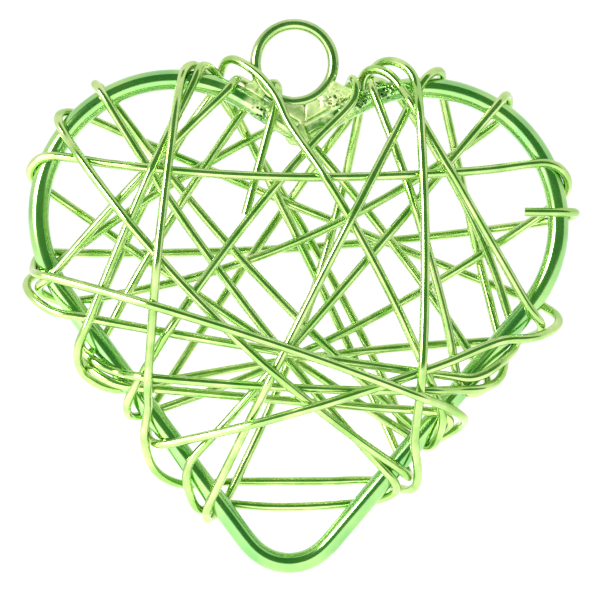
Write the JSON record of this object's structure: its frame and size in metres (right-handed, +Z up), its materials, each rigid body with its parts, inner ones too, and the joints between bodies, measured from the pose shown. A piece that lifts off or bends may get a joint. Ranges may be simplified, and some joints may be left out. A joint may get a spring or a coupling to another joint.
{
  "type": "wreath frame",
  "caption": "Small heart-shaped wreath frame: a thick rod heart with a hanging ring brazed in its cleft, wound criss-cross with one long thin wire.",
  "frame": {"origin": "centre of the hanging ring's eye", "axes": "+X to the right seen from the front, +Y through the frame from front to back, +Z up; the front faces -Y"},
  "size_m": [0.0616, 0.0171, 0.0614],
  "materials": {
    "rod_lacquer": "steel rod under glossy translucent green lacquer",
    "ring_lacquer": "steel wire ring under the same green lacquer",
    "wire_lacquer": "thin steel wire under bright yellow-green lacquer",
    "braze_lacquer": "lumpy, pitted braze metal under the green lacquer"
  },
  "bodies": {
    "root": {"heart_frame": "rod_lacquer", "hanging_ring": "ring_lacquer", "winding_wire": "wire_lacquer", "braze_right": "braze_lacquer", "braze_left": "braze_lacquer", "braze_cleft": "braze_lacquer"}
  },
  "joints": []
}
